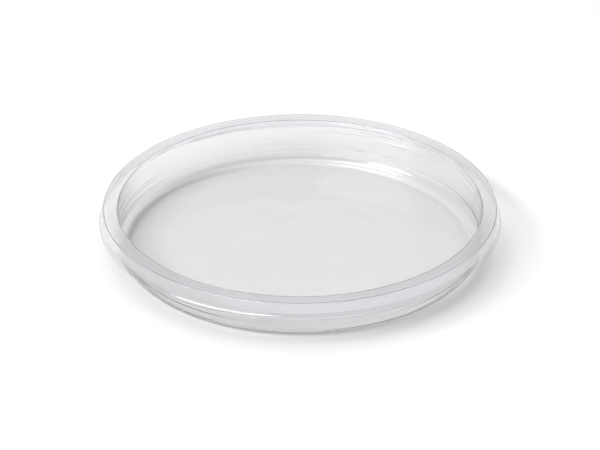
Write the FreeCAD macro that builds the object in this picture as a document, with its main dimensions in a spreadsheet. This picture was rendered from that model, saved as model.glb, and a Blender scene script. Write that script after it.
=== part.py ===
import FreeCAD, Part

import math
import os

import Sketcher

# A shallow round dish, formed in one piece from thin clear plastic sheet and open upwards. Its
# flat base turns up into a foot of two slopes, a shallow one and a steeper one, and a crease
# sends that upright into the lower wall. A small ledge sets the plug wall a little wider, up to a
# flat rim. The sheet folds over the rim, runs down outside as a skirt and curves out into a
# trimmed lip. The channel between wall and skirt is open below.
#
# Origin: centre of the base's underside, which stands on the table. +Z is up, in millimetres.

# Driving dimensions: alias, value and what it measures. Heights are above the table, and radii
# and heights are those of the air side, the face seen from inside the dish and from outside the
# skirt. A corner is where two straight runs would meet if the bend between them were sharp.
DIMENSIONS = [
    ("sheet_thickness", 0.3, "plastic sheet, the same all over"),
    ("base_corner_radius", 50.9, "corner between base and foot"),
    ("base_bend", 2.0, "bend at that corner"),
    ("foot_radius", 53.15, "corner between the foot's two slopes"),
    ("foot_height", 1.6, "height of that corner"),
    ("foot_bend", 0.4, "bend at that corner"),
    ("crease_radius", 53.75, "crease between foot and lower wall"),
    ("crease_height", 2.35, "height of the crease"),
    ("crease_bend", 0.4, "bend at the crease"),
    ("ledge_foot_radius", 53.76, "lower wall where the ledge starts"),
    ("ledge_foot_height", 4.2, "height of the ledge's foot"),
    ("ledge_top_radius", 53.9, "plug wall where the ledge ends"),
    ("ledge_top_height", 4.5, "height of the ledge's top"),
    ("ledge_bend", 0.4, "bend at both edges of the ledge"),
    ("rim_inner_radius", 54.1, "inner edge of the flat rim"),
    ("rim_outer_radius", 58.5, "outer edge of the flat rim"),
    ("rim_height", 14.2, "flat top of the rim"),
    ("rim_inner_bend", 0.5, "bend at the rim's inner edge"),
    ("rim_outer_bend", 0.45, "bend at the rim's outer edge"),
    ("skirt_foot_radius", 58.6, "corner between skirt and lip"),
    ("skirt_foot_height", 10.4, "height of that corner"),
    ("skirt_foot_bend", 2.2, "bend at that corner"),
    ("lip_radius", 59.75, "trimmed edge of the lip"),
    ("lip_height", 9.43, "height of the trimmed edge"),
]

# The bends from the axis outwards, as the aliases of their radius, height and bend.
CORNERS = {
    "base": ("base_corner_radius", "sheet_thickness", "base_bend"),
    "foot": ("foot_radius", "foot_height", "foot_bend"),
    "crease": ("crease_radius", "crease_height", "crease_bend"),
    "ledge_foot": ("ledge_foot_radius", "ledge_foot_height", "ledge_bend"),
    "ledge_top": ("ledge_top_radius", "ledge_top_height", "ledge_bend"),
    "rim_inner": ("rim_inner_radius", "rim_height", "rim_inner_bend"),
    "rim_outer": ("rim_outer_radius", "rim_height", "rim_outer_bend"),
    "skirt_foot": ("skirt_foot_radius", "skirt_foot_height", "skirt_foot_bend"),
}
LIP = ("lip_radius", "lip_height")

SKETCH_ORIGIN = (-1, 1)
VERTICAL_AXIS = -2
START, END, CENTRE = 1, 2, 3


def make_sheet(doc):
    """The spreadsheet that holds the driving dimensions."""
    sheet = doc.addObject("Spreadsheet::Sheet", "dims")
    for row, (alias, value, meaning) in enumerate(DIMENSIONS, start=1):
        sheet.set(f"A{row}", meaning)
        sheet.set(f"B{row}", str(value))
        sheet.setAlias(f"B{row}", alias)
    doc.recompute()
    return sheet


def offset_line(first, second, distance):
    """The line through two points, moved sideways to the right of its direction."""
    along = (second - first).normalize()
    aside = FreeCAD.Vector(along.y, -along.x, 0) * distance
    return first + aside, second + aside


def meeting_point(line_a, line_b):
    """The point where two lines, each given by two points, cross."""
    start, other = line_a[0], line_b[0]
    way_a, way_b = line_a[1] - start, line_b[1] - other
    scale = (other - start).cross(way_b).z / way_a.cross(way_b).z
    return start + way_a * scale


def turn_at(before, corner, after):
    """The signed angle that the outline turns by at a corner, positive to the left."""
    way_in, way_out = corner - before, after - corner
    return math.atan2(way_in.cross(way_out).z, way_in.dot(way_out))


def add_run(sketch, points, bends):
    """Straight lines along the points with an arc of the given radius in each corner.

    Returns the lines' and the arcs' indexes in the sketch and whether each arc turns left.
    """
    lines, arcs, lefts = [], [], []
    start = points[0]
    for before, corner, after, bend in zip(points, points[1:], points[2:], bends):
        turn = turn_at(before, corner, after)
        back = bend * math.tan(abs(turn) / 2)
        way_in = (corner - before).normalize()
        way_out = (after - corner).normalize()
        arc_from, arc_to = corner - way_in * back, corner + way_out * back
        left = turn > 0
        side = 1 if left else -1
        centre = arc_from + FreeCAD.Vector(-way_in.y, way_in.x, 0) * bend * side
        ends = [math.atan2(p.y - centre.y, p.x - centre.x) for p in (arc_from, arc_to)]
        if not left:
            ends.reverse()
        circle = Part.Circle(centre, FreeCAD.Vector(0, 0, 1), bend)
        lines.append(sketch.addGeometry(Part.LineSegment(start, arc_from)))
        arcs.append(sketch.addGeometry(Part.ArcOfCircle(circle, ends[0], ends[1])))
        lefts.append(left)
        start = arc_to
    lines.append(sketch.addGeometry(Part.LineSegment(start, points[-1])))
    return lines, arcs, lefts


def join_run(sketch, lines, arcs, lefts):
    """Makes every arc tangent to the line before it and the line after it."""
    for k, (arc, left) in enumerate(zip(arcs, lefts)):
        arc_in, arc_out = (START, END) if left else (END, START)
        sketch.addConstraint(Sketcher.Constraint("Tangent", lines[k], END, arc, arc_in))
        sketch.addConstraint(Sketcher.Constraint("Tangent", lines[k + 1], START, arc, arc_out))


def bind(sketch, name, alias, constraint):
    """Adds a named dimension to the sketch and drives it from a spreadsheet cell."""
    index = sketch.addConstraint(constraint)
    sketch.renameConstraint(index, name)
    sketch.setExpression(f"Constraints.{name}", f"dims.{alias}")


def bind_place(sketch, name, aliases, geometry, vertex, place):
    """Drives a point's radius and height, measured from the sketch's origin."""
    axes = (("radius", "DistanceX"), ("height", "DistanceY"))
    for (suffix, kind), alias, value in zip(axes, aliases, place):
        constraint = Sketcher.Constraint(kind, *SKETCH_ORIGIN, geometry, vertex, value)
        bind(sketch, f"{name}_at_{suffix}", alias, constraint)


def draw_section(sketch, sheet):
    """Half of the dish's cross-section: the air side, the underside and the two closing ends."""
    thickness = sheet.sheet_thickness
    aliases = list(CORNERS.values())
    bends = [getattr(sheet, bend) for _, _, bend in aliases]
    places = [(getattr(sheet, radius), getattr(sheet, height)) for radius, height, _ in aliases]
    lip = tuple(getattr(sheet, alias) for alias in LIP)

    air = [FreeCAD.Vector(*place, 0) for place in [(0, thickness), *places, lip]]
    moved = [offset_line(a, b, thickness) for a, b in zip(air, air[1:])]
    crossings = [meeting_point(a, b) for a, b in zip(moved, moved[1:])]
    under = [moved[0][0], *crossings, moved[-1][1]]
    air_lines, air_arcs, lefts = add_run(sketch, air, bends)
    under_bends = [bend + thickness * (1 if left else -1) for bend, left in zip(bends, lefts)]
    under_lines, under_arcs, _ = add_run(sketch, under, under_bends)
    join_run(sketch, air_lines, air_arcs, lefts)
    join_run(sketch, under_lines, under_arcs, lefts)

    # Air side: a level base that starts on the axis, then each corner where the sheet says.
    sketch.addConstraint(Sketcher.Constraint("PointOnObject", air_lines[0], START, VERTICAL_AXIS))
    sketch.addConstraint(Sketcher.Constraint("Horizontal", air_lines[0]))
    for k, (name, (radius, height, bend)) in enumerate(CORNERS.items()):
        corner = sketch.addGeometry(Part.Point(air[k + 1]), True)
        sketch.addConstraint(Sketcher.Constraint("PointOnObject", corner, START, air_lines[k]))
        sketch.addConstraint(Sketcher.Constraint("PointOnObject", corner, START, air_lines[k + 1]))
        bind_place(sketch, name, (radius, height), corner, START, places[k])
        bind(sketch, f"{name}_turn", bend, Sketcher.Constraint("Radius", air_arcs[k], bends[k]))
    bind_place(sketch, "lip", LIP, air_lines[-1], END, lip)

    # Underside: starts on the table, parallel to the air side, its arcs about the same centres.
    sketch.addConstraint(Sketcher.Constraint("Coincident", under_lines[0], START, *SKETCH_ORIGIN))
    for air_line, under_line in zip(air_lines, under_lines):
        sketch.addConstraint(Sketcher.Constraint("Parallel", air_line, under_line))
    for air_arc, under_arc in zip(air_arcs, under_arcs):
        sketch.addConstraint(Sketcher.Constraint("Coincident", air_arc, CENTRE, under_arc, CENTRE))

    # The ends: on the axis, and the trimmed edge square across the lip.
    axis_end = sketch.addGeometry(Part.LineSegment(under[0], air[0]))
    trimmed_end = sketch.addGeometry(Part.LineSegment(air[-1], under[-1]))
    sketch.addConstraint(Sketcher.Constraint("Coincident", axis_end, START, under_lines[0], START))
    sketch.addConstraint(Sketcher.Constraint("Coincident", axis_end, END, air_lines[0], START))
    sketch.addConstraint(Sketcher.Constraint("Coincident", trimmed_end, START, air_lines[-1], END))
    sketch.addConstraint(Sketcher.Constraint("Coincident", trimmed_end, END, under_lines[-1], END))
    sketch.addConstraint(Sketcher.Constraint("Perpendicular", trimmed_end, air_lines[-1]))


def make_dish(doc, sheet):
    """The dish: its cross-section turned once round the axis."""
    body = doc.addObject("PartDesign::Body", "DishBody")
    body.Label = "dish"
    body.Placement = FreeCAD.Placement()
    plane = next(f for f in body.Origin.OriginFeatures if f.Role == "XZ_Plane")
    sketch = body.newObject("Sketcher::SketchObject", "DishSection")
    sketch.AttachmentSupport = [(plane, "")]
    sketch.MapMode = "FlatFace"
    draw_section(sketch, sheet)
    turned = body.newObject("PartDesign::Revolution", "DishSheet")
    turned.Profile = sketch
    turned.ReferenceAxis = (sketch, ["V_Axis"])
    turned.Angle = 360
    return body


def check(doc, bodies):
    """Stops before anything is written if a feature failed or a sub-part isn't one valid solid."""
    for item in doc.Objects:
        if {"Invalid", "Error"} & set(item.State):
            raise RuntimeError(f"{item.Name} failed: {item.State}")
        if item.isDerivedFrom("Sketcher::SketchObject") and item.solve() != 0:
            raise RuntimeError(f"{item.Name} doesn't solve")
        if item.isDerivedFrom("Sketcher::SketchObject") and not item.FullyConstrained:
            raise RuntimeError(f"{item.Name} isn't fully constrained")
    for body in bodies:
        shape = body.Shape
        if shape.isNull() or not shape.isValid() or len(shape.Solids) != 1:
            raise RuntimeError(f"{body.Label} isn't one valid solid")


def main():
    doc = FreeCAD.newDocument("ClearDish")
    sheet = make_sheet(doc)
    bodies = [make_dish(doc, sheet)]
    doc.recompute()
    check(doc, bodies)
    os.makedirs("parts", exist_ok=True)
    for body in bodies:
        body.Shape.exportStep(f"parts/{body.Label}.step")
        size = body.Shape.optimalBoundingBox(False)
        print(body.Label, round(size.XLength, 2), round(size.YLength, 2), round(size.ZLength, 2))
        print("volume", round(body.Shape.Volume, 1), "lowest", round(size.ZMin, 4))


main()
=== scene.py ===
"""Looks of the clear formed dish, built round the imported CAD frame. Lengths are in metres."""

import math

import bpy
import numpy as np
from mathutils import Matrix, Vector


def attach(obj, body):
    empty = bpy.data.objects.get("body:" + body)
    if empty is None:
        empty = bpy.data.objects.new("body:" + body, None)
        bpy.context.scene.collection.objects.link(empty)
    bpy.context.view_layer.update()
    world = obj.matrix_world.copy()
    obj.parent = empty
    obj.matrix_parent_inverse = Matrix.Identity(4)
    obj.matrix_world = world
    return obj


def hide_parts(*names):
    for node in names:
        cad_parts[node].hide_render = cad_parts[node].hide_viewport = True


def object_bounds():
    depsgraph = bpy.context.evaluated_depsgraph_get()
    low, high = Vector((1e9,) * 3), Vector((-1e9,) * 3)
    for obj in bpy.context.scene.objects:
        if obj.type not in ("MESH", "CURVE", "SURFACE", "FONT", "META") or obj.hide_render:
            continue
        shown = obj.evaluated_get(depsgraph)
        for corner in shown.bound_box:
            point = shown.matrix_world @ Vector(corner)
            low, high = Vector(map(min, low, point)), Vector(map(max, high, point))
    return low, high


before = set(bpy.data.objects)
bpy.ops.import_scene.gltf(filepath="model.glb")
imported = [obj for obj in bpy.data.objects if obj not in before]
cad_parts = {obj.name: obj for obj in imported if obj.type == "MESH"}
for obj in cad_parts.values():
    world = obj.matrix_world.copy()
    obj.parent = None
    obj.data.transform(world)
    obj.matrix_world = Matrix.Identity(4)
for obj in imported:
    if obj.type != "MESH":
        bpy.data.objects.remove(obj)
cad_low, cad_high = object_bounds()

MM = 0.001
DISH = "dish"

# The sheet's section as in the CAD: the corners of the air side, in millimetres from the axis
# and above the table, each with its bend, and then the trimmed edge of the lip.
SHEET = 0.3
BASE = (50.9, SHEET, 2.0)
FOOT = (53.15, 1.6, 0.4)
CREASE = (53.75, 2.35, 0.4)
LEDGE_FOOT = (53.76, 4.2, 0.4)
LEDGE_TOP = (53.9, 4.5, 0.4)
RIM_INNER = (54.1, 14.2, 0.5)
RIM_OUTER = (58.5, 14.2, 0.45)
SKIRT_FOOT = (58.6, 10.4, 2.2)
CORNERS = [BASE, FOOT, CREASE, LEDGE_FOOT, LEDGE_TOP, RIM_INNER, RIM_OUTER, SKIRT_FOOT]
LIP = (59.75, 9.43)
CUT_BEND = 0.1            # the two tiny corners of the trimmed edge

# How finely the turned surface is divided. Steps along a straight run are in millimetres.
AROUND = 320
ARC_STEP = math.radians(10)
RUN_STEP = 0.9
RUN_STEPS = {BASE: 2.0, RIM_INNER: 0.15, SKIRT_FOOT: 0.2}   # on the runs to these corners
CUT_STEPS = 4
SMALLEST_STEP = 1e-4

# Forming leaves the sheet slightly wavy: (height in mm, waves per mm outwards, turns of the wave
# round the axis).
WALL_WAVES = [
    (0.016, 0.31, 2),
    (0.012, 0.53, -3),
    (0.010, 0.92, 1),
    (0.008, 1.37, -1),
    (0.008, 0.19, 7),
    (0.004, 2.10, 2),
]
BASE_WAVES = [
    (0.030, 0.035, 2),
    (0.020, 0.06, -3),
    (0.012, 0.11, 5),
    (0.010, 0.085, -9),
    (0.006, 0.17, 4),
]

# Where the waves come and go, in millimetres along the sheet from the axis. The base is calm at
# its centre, the rim keeps a share of the wall's waves, and the lip has none.
BASE_WAVES_FROM = (0, 16)
BASE_WAVES_TO = (BASE[0] - 10, BASE[0] - 2)
WALL_WAVES_FROM = (BASE[0] - 5, BASE[0] + 1)
RIM_CALM_FROM = (BASE[0] + RIM_INNER[1] - 1.5, BASE[0] + RIM_INNER[1] + 1.5)
RIM_CALM_TO = (BASE[0] + RIM_INNER[1] + 7.5, BASE[0] + RIM_INNER[1] + 8.5)
RIM_SHARE = 0.12
LIP_CALM = 2.5

# Draw marks, short low ridges that run round the wall: (height above the table, size and width
# in mm, direction from +X and spread in degrees round the axis).
DRAW_MARKS = [
    (11.6, 0.16, 0.25, 62, 12),
    (10.7, 0.18, 0.30, 74, 12),
    (9.8, 0.20, 0.40, 60, 16),
    (8.2, 0.14, 0.30, 66, 9),
    (5.3, 0.14, 0.20, 66, 11),
    (10.0, 0.10, 0.25, 83, 3),
    (10.0, 0.12, 0.20, 55, 3),
    (9.5, 0.04, 0.15, 132, 14),
    (8.3, 0.04, 0.15, 138, 12),
    (7.0, 0.05, 0.18, 144, 16),
    (5.9, 0.04, 0.15, 150, 14),
]

# The clear sheet's colour: cloudy between two tints; high up in the dish times painted shade,
# darker on the wall and lighter on rim and skirt; and greyer where it is seen edge-on, partly the
# sheet's own grey and partly painted shade.
REFRACTION = 1.57
TINT_LOW = (0.962, 0.963, 0.972, 1)
TINT_HIGH = (0.982, 0.983, 0.992, 1)
# painted shade: the upper wall darker, rim and skirt a little lighter
WALL_PAINTED_SHADE = (0.928, 0.930, 0.935, 1)
RIM_PAINTED_SHADE = (0.972, 0.973, 0.978, 1)
# edge-on grey: partly the sheet's own grey, partly painted shade on bends and creases
EDGE_GREY_AND_SHADE = (0.55, 0.55, 0.57, 1)
EDGE_POWER = 4.0

# Its finish: scuffed a little everywhere, duller on the base and foot, hazy on the rim's top.
WALL_ROUGH = (0.012, 0.05)
SCUFFS = (0.35, 0.75)     # the range of the noise that the scuffs use
BASE_ROUGH = 0.13
RIM_ROUGH = 0.22
CLOUD_SCALE = 60.0
SCUFF_SCALE = 900.0
GRAIN_SCALE = 260.0
GRAIN_STRENGTH = 0.05
GRAIN_DEPTH = 0.2 * MM

# What it lets through of lamps and diffuse light: most of it square on, hardly any edge-on.
# The foot's tight bends throw more of the slanting light aside, and so does the hazy rim.
PASS_CLEAR = (0.985, 0.985, 0.985, 1)
PASS_EDGE = (0.04, 0.03, 0.02, 1)
PASS_POWER = 2.1
RIM_PASS = (0.76, 0.76, 0.76, 1)
FOOT_STOPS = 1.0
FOOT_POWER = 1.5

# Where these change: heights above the table, and then distances from the axis.
# the height where the painted shade of the upper wall and rim comes in
PAINTED_SHADE_UP = (3.0 * MM, 6.0 * MM)
DULL_TO = (0.5 * MM, 2.2 * MM)
FOOT_FROM = (0.4 * MM, 0.9 * MM)
FOOT_TO = (2.2 * MM, 2.8 * MM)
RIM_TOP = ((RIM_INNER[1] - 0.2) * MM, (RIM_INNER[1] - 0.1) * MM)
RING_FROM = ((RIM_INNER[0] + 0.7) * MM, (RIM_INNER[0] + 1.1) * MM)
RING_TO = ((RIM_OUTER[0] - 1.1) * MM, (RIM_OUTER[0] - 0.7) * MM)

# The studio. A lamp's azimuth goes from the camera's side towards the left, its width and height
# are angles seen from the dish, and fade is the share of each that dims at either edge.
KEY = dict(azimuth=48, elevation=45, wide=60, tall=11, power=16.4, fade=(0.25, 0.3))
FILL = dict(azimuth=48, elevation=24, wide=70, tall=28, power=4.5, fade=(0.4, 0.4))
TOP = dict(azimuth=0, elevation=90, wide=60, tall=60, power=6.3, fade=(0.3, 0.3))
BACK = dict(azimuth=121, elevation=70, wide=34, tall=24, power=2.8, fade=(0.3, 0.3))
LAMP_DISTANCE = 3.0
ROOM_FRONT = 0.05
ROOM_BACK = 0.63
FLOOR_COLOUR = (0.80, 0.80, 0.80, 1)
FLOOR_HALF = 6.0
FLOOR_GAP = 0.05 * MM

# The camera: degrees down, distance and aim below the rim's centre in rim radii, lens in mm.
CAMERA_PITCH = 28.72
CAMERA_DISTANCE = 20
CAMERA_AIM = 0.119
CAMERA_LENS = 236.3
CAMERA_SENSOR = 36
CAMERA_CLIP = (0.05, 50)


def air_side():
    """The sheet's air side from the axis to the lip: places, normals and distance along it."""
    points = [Vector((0.0, SHEET)), *(Vector(corner[:2]) for corner in CORNERS), Vector(LIP)]
    side = []

    def straight(start, end, step):
        way = (end - start).normalized()
        count = max(1, math.ceil((end - start).length / step))
        for k in range(count + 1):
            side.append((start.lerp(end, k / count), Vector((-way.y, way.x))))

    start = points[0]
    for before, corner, after, kind in zip(points, points[1:], points[2:], CORNERS):
        bend = kind[2]
        way_in, way_out = (corner - before).normalized(), (after - corner).normalized()
        turn = math.atan2(way_in.cross(way_out), way_in.dot(way_out))
        back = bend * math.tan(abs(turn) / 2)
        arc_from = corner - way_in * back
        normal = Vector((-way_in.y, way_in.x))
        centre = arc_from + normal * math.copysign(bend, turn)
        straight(start, arc_from, RUN_STEPS.get(kind, RUN_STEP))
        steps = max(3, math.ceil(abs(turn) / ARC_STEP))
        for k in range(1, steps):
            swing = np.array(((math.cos(turn * k / steps), -math.sin(turn * k / steps)),
                              (math.sin(turn * k / steps), math.cos(turn * k / steps))))
            side.append((centre + Vector(swing @ (arc_from - centre)), Vector(swing @ normal)))
        start = corner + way_out * back
    straight(start, points[-1], RUN_STEP)

    kept, along = [side[0]], [0.0]
    for place, normal in side[1:]:
        gap = (place - kept[-1][0]).length
        if gap > SMALLEST_STEP:
            kept.append((place, normal))
            along.append(along[-1] + gap)
    return kept, along


def section():
    """Rows (place, outward normal, air-side normal, distance along) round the whole section."""
    side, along = air_side()
    rows = [(p, n, n, s) for (p, n), s in zip(side, along)]
    tip, normal = side[-1]
    ahead = Vector((normal.y, -normal.x))
    cut = []
    for depth, first, last in ((CUT_BEND, normal, ahead), (SHEET - CUT_BEND, ahead, -normal)):
        for k in range(CUT_STEPS + 1):
            swing = math.pi / 2 * k / CUT_STEPS
            out = first * math.cos(swing) + last * math.sin(swing)
            cut.append((tip - normal * depth + (out - ahead) * CUT_BEND, out, normal, along[-1]))
    under = [(p - n * SHEET, -n, n, s) for (p, n), s in zip(side, along)]
    return rows[:-1] + cut + under[::-1][1:]


def ramp(value, low, high):
    """0 below low, 1 above high and a smooth rise between them."""
    t = min(1.0, max(0.0, (value - low) / (high - low)))
    return t * t * (3 - 2 * t)


def waves(kinds, along, around):
    """Height of the waves in mm, with its slope along the sheet and round the axis."""
    height, slope, swirl = 0.0, 0.0, 0.0
    for k, (size, per_mm, turns) in enumerate(kinds):
        # each wave starts somewhere else
        phase = 2 * math.pi * per_mm * along + turns * around + 1.7 * k * k + 0.4
        height = height + size * np.sin(phase)
        slope = slope + size * np.cos(phase) * 2 * math.pi * per_mm
        swirl = swirl + size * np.cos(phase) * turns
    return height, slope, swirl


def draw_marks(level, around):
    """Height of the draw marks in mm, with its slope up the wall and round the axis."""
    height, slope, swirl = 0.0, 0.0, 0.0
    for middle, size, width, direction, spread in DRAW_MARKS:
        off = (level - middle) / width
        away = (around - math.radians(direction)) / math.radians(spread)
        ridge = size * np.exp(-off ** 2 - away ** 2)
        height = height + ridge
        slope = slope - 2 * off / width * ridge
        swirl = swirl - 2 * away / math.radians(spread) * ridge
    return height, slope, swirl


def relief(place, normal, along, end, around):
    """All that forming adds at a row: height in mm, with its slope along the sheet and round."""
    wall = ramp(along, *WALL_WAVES_FROM)
    calm = ramp(along, *RIM_CALM_FROM) * (1 - ramp(along, *RIM_CALM_TO))
    wall *= 1 - (1 - RIM_SHARE) * calm
    wall *= 1 - ramp(along, end - LIP_CALM, end)
    base = (1 - ramp(along, *BASE_WAVES_TO)) * ramp(place.x, *BASE_WAVES_FROM)
    wall_wave = waves(WALL_WAVES, along, around)
    base_wave = waves(BASE_WAVES, along, around)

    # moved up from the table and down from the rim's top, so that no crest leaves the CAD's box
    wall_size = sum(size for size, _, _ in WALL_WAVES)
    base_size = sum(size for size, _, _ in BASE_WAVES)
    inwards = normal.y * (1 - 2 * place.y / RIM_INNER[1])
    height = wall * (wall_wave[0] + inwards * wall_size) + base * (base_wave[0] + base_size)
    slope = wall * wall_wave[1] + base * base_wave[1]
    swirl = wall * wall_wave[2] + base * base_wave[2]
    upright = abs(normal.x) > 0.9
    if upright and place.x < RIM_INNER[0] + 1:
        marks = draw_marks(place.y, around)
        height, slope, swirl = height + marks[0], slope + marks[1], swirl + marks[2]
    return height, slope, swirl


def turned_faces(starts):
    """Faces between neighbouring rings of points. The first and last rings are single points."""
    faces = []
    for k in range(len(starts) - 2):
        low, high = starts[k], starts[k + 1]
        for j in range(AROUND):
            i = (j + 1) % AROUND
            if high - low == 1:
                faces.append((low, high + j, high + i))
            elif starts[k + 2] - high == 1:
                faces.append((low + j, high, low + i))
            else:
                faces.append((low + j, high + j, high + i, low + i))
    return faces


def make_dish():
    rows = section()
    around = np.arange(AROUND) * 2 * math.pi / AROUND
    cos, sin = np.cos(around), np.sin(around)
    end = max(along for _, _, _, along in rows)
    verts, normals, starts = [], [], []
    for place, out, normal, along in rows:
        starts.append(len(verts))
        if place.x < SMALLEST_STEP:
            verts.append((0, 0, place.y * MM))
            normals.append((0, 0, out.y))
            continue
        height, slope, swirl = relief(place, normal, along, end, around)
        radius = (place.x + height * normal.x) * MM
        level = (place.y + height * normal.y) * MM

        # the normal leans against the slopes: one way on the air side, the other way beneath it,
        # and not at all on the trimmed edge
        facing = out.dot(normal)
        side = math.copysign(1, facing) if abs(facing) > 0.99 else 0
        lean_r = out.x - side * slope * normal.y
        lean_z = out.y + side * slope * normal.x
        lean_t = -side * swirl / place.x
        size = np.sqrt(lean_r ** 2 + lean_z ** 2 + lean_t ** 2)
        lean_r, lean_z, lean_t = lean_r / size, lean_z / size, lean_t / size
        verts.extend(zip(radius * cos, radius * sin, level * np.ones(AROUND)))
        normals.extend(zip(lean_r * cos - lean_t * sin, lean_r * sin + lean_t * cos, lean_z))
    starts.append(len(verts))

    mesh = bpy.data.meshes.new("clear_dish")
    mesh.from_pydata(verts, [], turned_faces(starts))
    mesh.validate()
    mesh.shade_smooth()
    mesh.normals_split_custom_set_from_vertices(normals)
    dish = bpy.data.objects.new("clear_dish", mesh)
    bpy.context.scene.collection.objects.link(dish)
    return dish


def node(tree, kind, inputs=None, **settings):
    """Adds a node with its settings and its inputs, each a value or another node's output."""
    made = tree.nodes.new(kind)
    for name, value in settings.items():
        setattr(made, name, value)
    for socket, value in (inputs or {}).items():
        if isinstance(value, bpy.types.NodeSocket):
            tree.links.new(value, made.inputs[socket])
        else:
            made.inputs[socket].default_value = value
    return made


def maths(tree, operation, *values, **settings):
    """The result of a Math node on these values."""
    made = node(tree, "ShaderNodeMath", dict(enumerate(values)), operation=operation, **settings)
    return made.outputs[0]


def rise(tree, value, window, start=0.0, end=1.0):
    """Goes smoothly from start to end while the value crosses the window."""
    made = node(tree, "ShaderNodeMapRange", {
        "Value": value, "From Min": window[0], "From Max": window[1],
        "To Min": start, "To Max": end}, interpolation_type="SMOOTHSTEP")
    return made.outputs[0]


def noise(tree, place, scale, detail):
    made = node(tree, "ShaderNodeTexNoise", {"Vector": place, "Scale": scale, "Detail": detail})
    return made.outputs["Fac"]


def colour_mix(tree, factor, low, high, blend="MIX"):
    """A colour that goes from low to high, or to their product, as the factor goes from 0 to 1."""
    mix = node(tree, "ShaderNodeMix", data_type="RGBA", blend_type=blend)
    tree.links.new(factor, mix.inputs[0])
    for socket, colour in ((mix.inputs[6], low), (mix.inputs[7], high)):
        if isinstance(colour, bpy.types.NodeSocket):
            tree.links.new(colour, socket)
        else:
            socket.default_value = colour
    return mix.outputs[2]


def sheet_tint_and_shade(tree, place, facing, height, past_wall):
    """Slightly cloudy plastic, with painted shade high up on the wall and rim, and greyer edge-on:
    partly the sheet's grey, partly painted shade.
    """
    tint_and_shade = colour_mix(tree, noise(tree, place, CLOUD_SCALE, 3.0), TINT_LOW, TINT_HIGH)
    # greyer edge-on: partly the sheet's grey, partly painted shade
    tint_and_shade = colour_mix(tree, maths(tree, "POWER", facing, EDGE_POWER), tint_and_shade, EDGE_GREY_AND_SHADE)
    # painted shade high up: darker on the wall, lighter on rim and skirt
    painted_shade = colour_mix(tree, past_wall, WALL_PAINTED_SHADE, RIM_PAINTED_SHADE)
    return colour_mix(tree, rise(tree, height, PAINTED_SHADE_UP), tint_and_shade, painted_shade, "MULTIPLY")


def sheet_rough(tree, place, height, ring):
    """Fine scuffs everywhere, a duller base and foot, and haze on the rim's top."""
    scuffs = node(tree, "ShaderNodeMapRange", {
        "Value": noise(tree, place, SCUFF_SCALE, 4.0), "From Min": SCUFFS[0], "From Max": SCUFFS[1],
        "To Min": WALL_ROUGH[0], "To Max": WALL_ROUGH[1]}).outputs[0]
    dull = rise(tree, height, DULL_TO, BASE_ROUGH, 0.0)
    haze = maths(tree, "MULTIPLY", ring, rise(tree, height, RIM_TOP, 0.0, RIM_ROUGH))
    return maths(tree, "ADD", scuffs, maths(tree, "ADD", dull, haze))


def sheet_pass(tree, facing, height, ring):
    """Lamps and diffuse light go straight through, less where they meet the sheet edge-on."""
    graze = maths(tree, "POWER", facing, PASS_POWER)
    foot = maths(tree, "MULTIPLY", rise(tree, height, FOOT_FROM),
                 rise(tree, height, FOOT_TO, FOOT_STOPS, 0.0))
    slant = maths(tree, "POWER", facing, FOOT_POWER)
    stopped = maths(tree, "MULTIPLY_ADD", foot, slant, graze, use_clamp=True)
    through = colour_mix(tree, stopped, PASS_CLEAR, PASS_EDGE)
    through = colour_mix(tree, ring, through, RIM_PASS, "MULTIPLY")
    return node(tree, "ShaderNodeBsdfTransparent", {"Color": through}).outputs[0]


def clear_sheet():
    mat = bpy.data.materials.new("clear_sheet")
    mat.use_nodes = True
    tree = mat.node_tree
    place = node(tree, "ShaderNodeTexCoord").outputs["Object"]
    facing = node(tree, "ShaderNodeLayerWeight", {"Blend": 0.5}).outputs["Facing"]
    height = node(tree, "ShaderNodeSeparateXYZ", {"Vector": place}).outputs["Z"]
    flat = node(tree, "ShaderNodeVectorMath", {0: place, 1: (1, 1, 0)}, operation="MULTIPLY")
    reach = node(tree, "ShaderNodeVectorMath", {0: flat.outputs[0]}, operation="LENGTH")
    radius = reach.outputs["Value"]
    past_wall = rise(tree, radius, RING_FROM)
    ring = maths(tree, "MULTIPLY", past_wall, rise(tree, radius, RING_TO, 1.0, 0.0))

    shader = tree.nodes["Principled BSDF"]
    shader.inputs["IOR"].default_value = REFRACTION
    shader.inputs["Transmission Weight"].default_value = 1.0
    tint_and_shade = sheet_tint_and_shade(tree, place, facing, height, past_wall)
    tree.links.new(tint_and_shade, shader.inputs["Base Color"])
    tree.links.new(sheet_rough(tree, place, height, ring), shader.inputs["Roughness"])
    bump = node(tree, "ShaderNodeBump", {
        "Height": noise(tree, place, GRAIN_SCALE, 2.0), "Strength": GRAIN_STRENGTH,
        "Distance": GRAIN_DEPTH})
    tree.links.new(bump.outputs[0], shader.inputs["Normal"])

    path = node(tree, "ShaderNodeLightPath").outputs
    passing = maths(tree, "MAXIMUM", path["Is Shadow Ray"], path["Is Diffuse Ray"])
    both = node(tree, "ShaderNodeMixShader", {
        0: passing, 1: shader.outputs[0], 2: sheet_pass(tree, facing, height, ring)})
    tree.links.new(both.outputs[0], tree.nodes["Material Output"].inputs["Surface"])
    return mat


def make_floor():
    half, level = FLOOR_HALF, cad_low.z - FLOOR_GAP
    corners = [(-half, -half, level), (half, -half, level), (half, half, level), (-half, half, level)]
    mesh = bpy.data.meshes.new("floor")
    mesh.from_pydata(corners, [], [(0, 1, 2, 3)])
    floor = bpy.data.objects.new("floor", mesh)
    bpy.context.scene.collection.objects.link(floor)
    mat = bpy.data.materials.new("floor")
    mat.use_nodes = True
    shader = mat.node_tree.nodes["Principled BSDF"]
    shader.inputs["Base Color"].default_value = FLOOR_COLOUR
    shader.inputs["Roughness"].default_value = 1.0
    shader.inputs["Specular IOR Level"].default_value = 0.0
    mesh.materials.append(mat)


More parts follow.
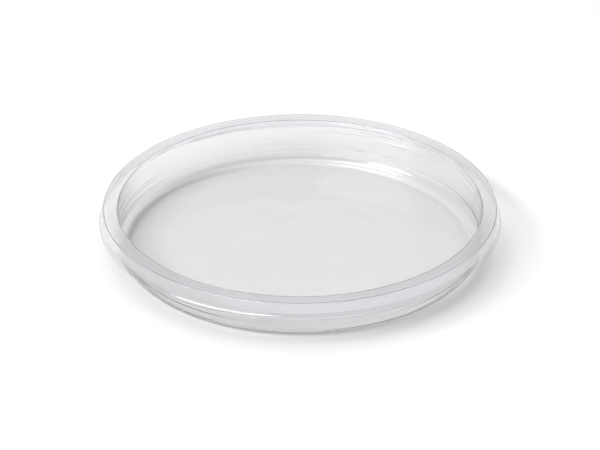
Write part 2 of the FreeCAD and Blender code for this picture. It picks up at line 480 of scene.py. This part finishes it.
def soft_box(name, azimuth, elevation, wide, tall, power, fade):
    """A box lamp, aimed at the dish, that fades towards its edges."""
    target = Vector((0, 0, cad_high.z / 2))
    turn, tilt = math.radians(azimuth), math.radians(elevation)
    way = Vector((-math.sin(turn) * math.cos(tilt), -math.cos(turn) * math.cos(tilt), math.sin(tilt)))
    data = bpy.data.lights.new(name, "AREA")
    data.shape = "RECTANGLE"
    data.size = 2 * LAMP_DISTANCE * math.tan(math.radians(wide) / 2)
    data.size_y = 2 * LAMP_DISTANCE * math.tan(math.radians(tall) / 2)
    data.energy = power * LAMP_DISTANCE ** 2
    data.use_nodes = True
    tree = data.node_tree
    place = node(tree, "ShaderNodeNewGeometry").outputs["Parametric"]
    across = node(tree, "ShaderNodeSeparateXYZ", {"Vector": place}).outputs
    fades = []
    for axis, share in zip("XY", fade):
        away = maths(tree, "ABSOLUTE", maths(tree, "SUBTRACT", across[axis], 0.5))
        fades.append(rise(tree, away, (0.5 - share, 0.5), 1.0, 0.0))
    tree.links.new(maths(tree, "MULTIPLY", *fades), tree.nodes["Emission"].inputs["Strength"])
    lamp = bpy.data.objects.new(name, data)
    lamp.location = target + way * LAMP_DISTANCE
    lamp.rotation_mode = "QUATERNION"
    lamp.rotation_quaternion = (-way).to_track_quat("-Z", "Y")
    bpy.context.scene.collection.objects.link(lamp)


def make_world():
    """A plain room, dim on the camera's side and light behind the dish."""
    world = bpy.data.worlds.new("studio")
    world.use_nodes = True
    tree = world.node_tree
    way = node(tree, "ShaderNodeTexCoord").outputs["Generated"]
    depth = node(tree, "ShaderNodeSeparateXYZ", {"Vector": way}).outputs["Y"]
    room = tree.nodes["Background"]
    room.inputs["Color"].default_value = (1, 1, 1, 1)
    tree.links.new(rise(tree, depth, (-1.0, 1.0), ROOM_FRONT, ROOM_BACK), room.inputs["Strength"])
    bpy.context.scene.world = world


def make_camera():
    pitch = math.radians(CAMERA_PITCH)
    rim_radius = RIM_OUTER[0] * MM
    rim_centre = Vector((0, 0, cad_high.z))
    aim = rim_centre - Vector((0, 0, CAMERA_AIM * rim_radius))
    back = Vector((0, -math.cos(pitch), math.sin(pitch)))
    data = bpy.data.cameras.new("camera")
    data.lens = CAMERA_LENS
    data.sensor_width = CAMERA_SENSOR
    data.clip_start, data.clip_end = CAMERA_CLIP
    camera = bpy.data.objects.new("camera", data)
    camera.location = rim_centre + back * CAMERA_DISTANCE * rim_radius
    camera.rotation_mode = "QUATERNION"
    camera.rotation_quaternion = (aim - camera.location).to_track_quat("-Z", "Y")
    bpy.context.scene.collection.objects.link(camera)
    bpy.context.scene.camera = camera


dish = make_dish()
dish.data.materials.append(clear_sheet())
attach(dish, "root")
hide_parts(DISH)
make_floor()
soft_box("key", **KEY)
soft_box("fill", **FILL)
soft_box("top", **TOP)
soft_box("back", **BACK)
make_world()
make_camera()

scene = bpy.context.scene
scene.view_settings.view_transform = "Standard"
scene.cycles.max_bounces = 32
scene.cycles.transmission_bounces = 24
scene.cycles.transparent_max_bounces = 32
scene.cycles.glossy_bounces = 12
scene.cycles.diffuse_bounces = 4
scene.cycles.blur_glossy = 0.0
